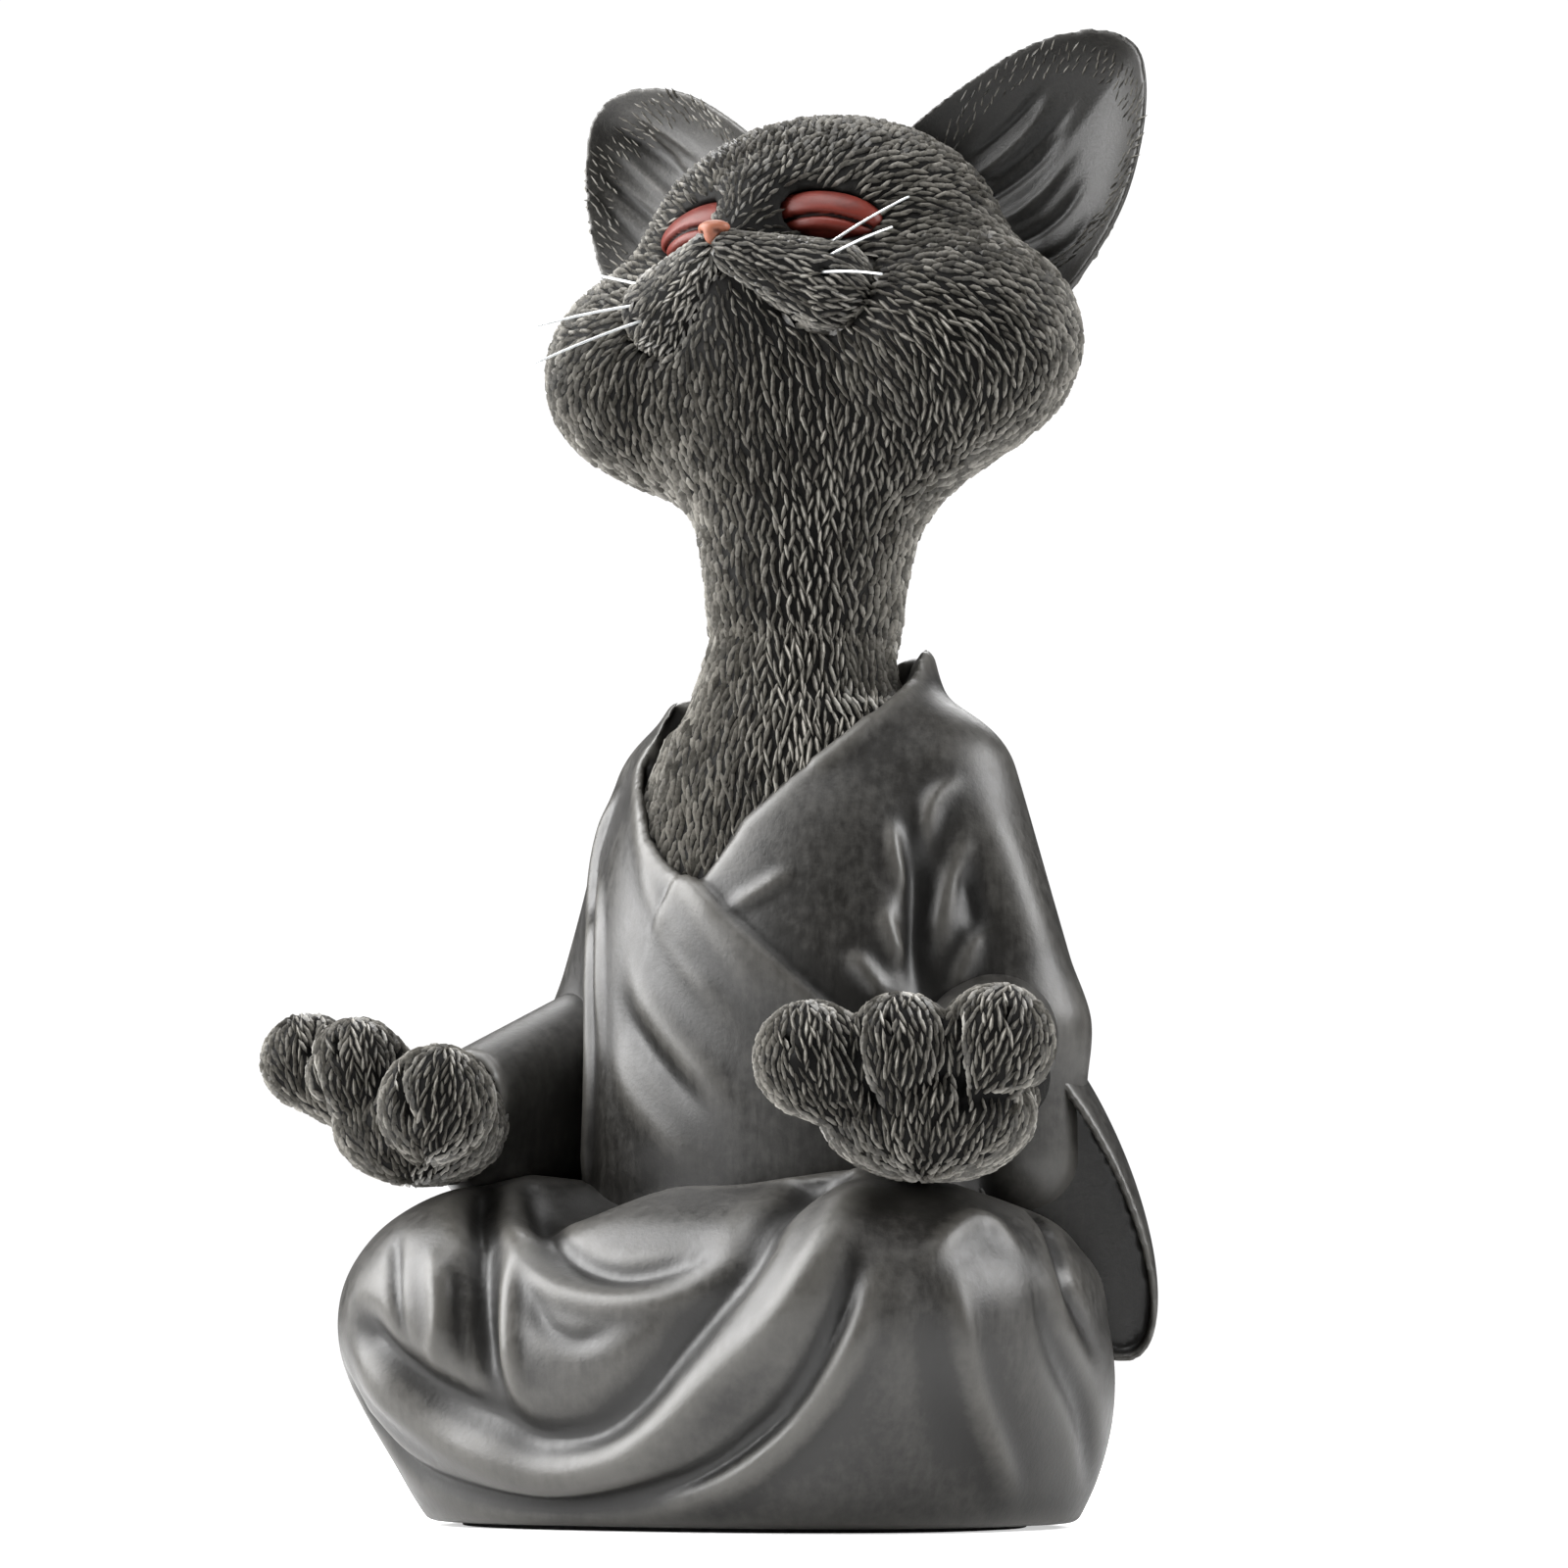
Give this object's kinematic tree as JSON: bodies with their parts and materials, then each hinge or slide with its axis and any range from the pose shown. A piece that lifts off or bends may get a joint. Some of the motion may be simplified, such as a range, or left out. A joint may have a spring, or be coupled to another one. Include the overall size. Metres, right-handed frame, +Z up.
{
  "type": "cat figurine",
  "caption": "Hollow cast figurine of a robed cat seated cross-legged, paws palm up on its knees and face lifted, with nylon whiskers and a felt base.",
  "frame": {"origin": "centre of the lap's outline on the resting face, the underside of the felt", "axes": "+X towards the cat's left, -Y towards its front, +Z up"},
  "size_m": [0.1684, 0.1226, 0.2978],
  "materials": {
    "robe_paint": "satin charcoal paint over fired ceramic",
    "fur_paint": "low-sheen charcoal paint over carved ceramic, dry-brushed",
    "eyelid_paint": "satin brick-red paint",
    "nose_paint": "satin copper-brown paint",
    "whisker_nylon": "clear nylon monofilament",
    "felt": "pressed black felt"
  },
  "bodies": {
    "root": {"robe_body": "robe_paint", "left_sleeve": "robe_paint", "right_sleeve": "robe_paint", "head_and_neck": "fur_paint", "left_ear": "fur_paint", "right_ear": "fur_paint", "left_whisker_pad": "fur_paint", "right_whisker_pad": "fur_paint", "left_paw": "fur_paint", "right_paw": "fur_paint", "left_eye": "eyelid_paint", "right_eye": "eyelid_paint", "nose": "nose_paint", "left_upper_whisker": "whisker_nylon", "left_middle_whisker": "whisker_nylon", "left_lower_whisker": "whisker_nylon", "right_upper_whisker": "whisker_nylon", "right_middle_whisker": "whisker_nylon", "right_lower_whisker": "whisker_nylon", "base_felt": "felt"}
  },
  "joints": []
}
